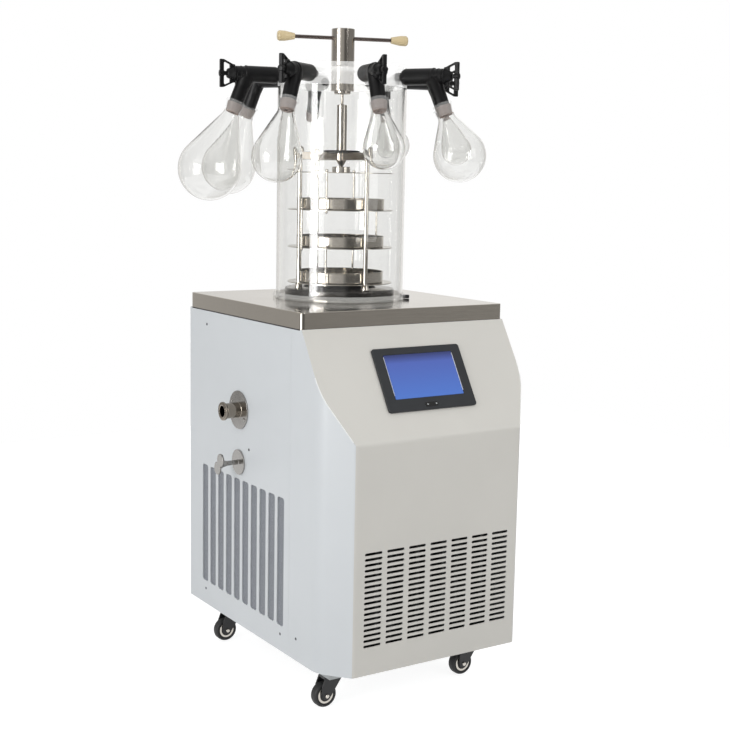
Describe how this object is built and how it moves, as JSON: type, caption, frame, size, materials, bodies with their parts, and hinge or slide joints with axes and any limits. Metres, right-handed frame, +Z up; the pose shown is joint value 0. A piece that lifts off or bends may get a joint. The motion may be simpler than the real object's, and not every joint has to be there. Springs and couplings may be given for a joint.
{
  "type": "manifold freeze dryer",
  "caption": "Floor-standing laboratory freeze dryer: wheeled cabinet with touch screen, clear drying chamber with shelf press, and a valve lid with glass flasks.",
  "frame": {"origin": "on the floor, in the middle of the plan of the whole machine with its flasks and valves (within a few millimetres)", "axes": "+Z up; the operator and the touch screen are on the -Y side; +X to the operator's right, the side ports on -X"},
  "size_m": [0.6482, 0.7053, 1.3895],
  "materials": {
    "side_paint": "semi-gloss powder coat",
    "front_paint": "semi-gloss powder coat",
    "brushed_steel": "brushed stainless steel",
    "dark_steel": "dark polished steel",
    "galvanised_steel": "galvanised sheet",
    "vent_mesh": "fine woven mesh",
    "black_plastic": "moulded, satin",
    "bezel_plastic": "moulded, fine grain",
    "display_glass": "gloss panel",
    "black_rubber": "matt rubber",
    "wheel_rubber": "matt rubber",
    "clear_acrylic": "clear polished acrylic",
    "frosted_acrylic": "white translucent acrylic",
    "clear_glass": "clear laboratory glass"
  },
  "bodies": {
    "cabinet": {"front_panel": "front_paint", "left_side_panel": "side_paint", "right_side_panel": "side_paint", "left_vent_mesh": "vent_mesh", "screen_bezel": "bezel_plastic", "display": "display_glass", "chassis": "galvanised_steel", "table_top": "brushed_steel", "cold_trap": "brushed_steel", "vacuum_port": "brushed_steel", "drain_port": "brushed_steel", "press_bush": "brushed_steel", "bridge_plate": "brushed_steel", "shelf_lower": "brushed_steel", "tray_lower": "brushed_steel", "condensing_unit": "dark_steel", "rack_base": "dark_steel", "base_seal": "black_rubber", "chamber_cylinder": "clear_acrylic", "manifold_lid": "frosted_acrylic", "valve_body_1": "black_plastic", "valve_body_2": "black_plastic", "valve_body_3": "black_plastic", "valve_body_4": "black_plastic", "valve_body_5": "black_plastic", "valve_body_6": "black_plastic", "valve_body_7": "black_plastic", "valve_body_8": "black_plastic", "flask_1": "clear_glass", "flask_2": "clear_glass", "flask_4": "clear_glass", "flask_5": "clear_glass", "flask_6": "clear_glass", "flask_7": "clear_glass", "flask_8": "clear_glass"},
    "press_carriage": {"press_ram": "brushed_steel", "press_plate": "brushed_steel", "shelf_upper": "brushed_steel", "tray_upper": "brushed_steel", "shelf_middle": "brushed_steel", "tray_middle": "brushed_steel"},
    "press_handle": {"press_handle": "brushed_steel"},
    "drain_handle": {"drain_handle": "brushed_steel"},
    "fan": {"fan_rotor": "black_plastic"},
    "valve_knob_1": {"valve_knob_1": "black_plastic"},
    "valve_knob_2": {"valve_knob_2": "black_plastic"},
    "valve_knob_3": {"valve_knob_3": "black_plastic"},
    "valve_knob_4": {"valve_knob_4": "black_plastic"},
    "valve_knob_5": {"valve_knob_5": "black_plastic"},
    "valve_knob_6": {"valve_knob_6": "black_plastic"},
    "valve_knob_7": {"valve_knob_7": "black_plastic"},
    "valve_knob_8": {"valve_knob_8": "black_plastic"},
    "swivel_front_left": {"caster_fork_front_left": "black_plastic"},
    "wheel_front_left": {"caster_wheel_front_left": "wheel_rubber"},
    "swivel_front_right": {"caster_fork_front_right": "black_plastic"},
    "wheel_front_right": {"caster_wheel_front_right": "wheel_rubber"},
    "swivel_rear_left": {"caster_fork_rear_left": "black_plastic"},
    "wheel_rear_left": {"caster_wheel_rear_left": "wheel_rubber"},
    "swivel_rear_right": {"caster_fork_rear_right": "black_plastic"},
    "wheel_rear_right": {"caster_wheel_rear_right": "wheel_rubber"}
  },
  "joints": [
    {"name": "press_travel", "type": "slide", "parent": "cabinet", "child": "press_carriage", "axis": [0, 0, -1], "range_m": [0, 0.03]},
    {"name": "press_turn", "type": "hinge", "parent": "cabinet", "child": "press_handle", "pos_m": [0.025, 0.042, 1.37], "axis": [0, 0, -1], "range_deg": [0, 2700]},
    {"name": "drain_turn", "type": "hinge", "parent": "cabinet", "child": "drain_handle", "pos_m": [-0.272, 0.038, 0.463], "axis": [-1, 0, 0], "range_deg": [0, 90]},
    {"name": "fan_spin", "type": "hinge", "parent": "cabinet", "child": "fan", "pos_m": [0.025, -0.265, 0.2467], "axis": [0, 1, 0], "continuous": true},
    {"name": "valve_1_turn", "type": "hinge", "parent": "cabinet", "child": "valve_knob_1", "pos_m": [0.25496, -0.01534, 1.2855], "axis": [0.9703, -0.2419, 0], "range_deg": [0, 180]},
    {"name": "valve_2_turn", "type": "hinge", "parent": "cabinet", "child": "valve_knob_2", "pos_m": [0.22815, 0.16406, 1.2855], "axis": [0.8572, 0.515, 0], "range_deg": [0, 180]},
    {"name": "valve_3_turn", "type": "hinge", "parent": "cabinet", "child": "valve_knob_3", "pos_m": [0.08234, 0.27196, 1.2855], "axis": [0.2419, 0.9703, 0], "range_deg": [0, 180]},
    {"name": "valve_4_turn", "type": "hinge", "parent": "cabinet", "child": "valve_knob_4", "pos_m": [-0.09706, 0.24515, 1.2855], "axis": [-0.515, 0.8572, 0], "range_deg": [0, 180]},
    {"name": "valve_5_turn", "type": "hinge", "parent": "cabinet", "child": "valve_knob_5", "pos_m": [-0.20496, 0.09934, 1.2855], "axis": [-0.9703, 0.2419, 0], "range_deg": [0, 180]},
    {"name": "valve_6_turn", "type": "hinge", "parent": "cabinet", "child": "valve_knob_6", "pos_m": [-0.17815, -0.08006, 1.2855], "axis": [-0.8572, -0.515, 0], "range_deg": [0, 180]},
    {"name": "valve_7_turn", "type": "hinge", "parent": "cabinet", "child": "valve_knob_7", "pos_m": [-0.03234, -0.18796, 1.2855], "axis": [-0.2419, -0.9703, 0], "range_deg": [0, 180]},
    {"name": "valve_8_turn", "type": "hinge", "parent": "cabinet", "child": "valve_knob_8", "pos_m": [0.14706, -0.16115, 1.2855], "axis": [0.515, -0.8572, 0], "range_deg": [0, 180]},
    {"name": "swivel_front_left", "type": "hinge", "parent": "cabinet", "child": "swivel_front_left", "pos_m": [-0.15, -0.235, 0.067], "axis": [0, 0, 1], "continuous": true},
    {"name": "roll_front_left", "type": "hinge", "parent": "swivel_front_left", "child": "wheel_front_left", "pos_m": [-0.171, -0.235, 0.026], "axis": [0, 1, 0], "continuous": true},
    {"name": "swivel_front_right", "type": "hinge", "parent": "cabinet", "child": "swivel_front_right", "pos_m": [0.2, -0.235, 0.067], "axis": [0, 0, 1], "continuous": true},
    {"name": "roll_front_right", "type": "hinge", "parent": "swivel_front_right", "child": "wheel_front_right", "pos_m": [0.179, -0.235, 0.026], "axis": [0, 1, 0], "continuous": true},
    {"name": "swivel_rear_left", "type": "hinge", "parent": "cabinet", "child": "swivel_rear_left", "pos_m": [-0.15, 0.209, 0.067], "axis": [0, 0, 1], "continuous": true},
    {"name": "roll_rear_left", "type": "hinge", "parent": "swivel_rear_left", "child": "wheel_rear_left", "pos_m": [-0.171, 0.209, 0.026], "axis": [0, 1, 0], "continuous": true},
    {"name": "swivel_rear_right", "type": "hinge", "parent": "cabinet", "child": "swivel_rear_right", "pos_m": [0.2, 0.209, 0.067], "axis": [0, 0, 1], "continuous": true},
    {"name": "roll_rear_right", "type": "hinge", "parent": "swivel_rear_right", "child": "wheel_rear_right", "pos_m": [0.179, 0.209, 0.026], "axis": [0, 1, 0], "continuous": true}
  ],
  "couplings": [
    {"joint": "press_travel", "follows": "press_turn", "m_per_rad": 0.00063662}
  ]
}
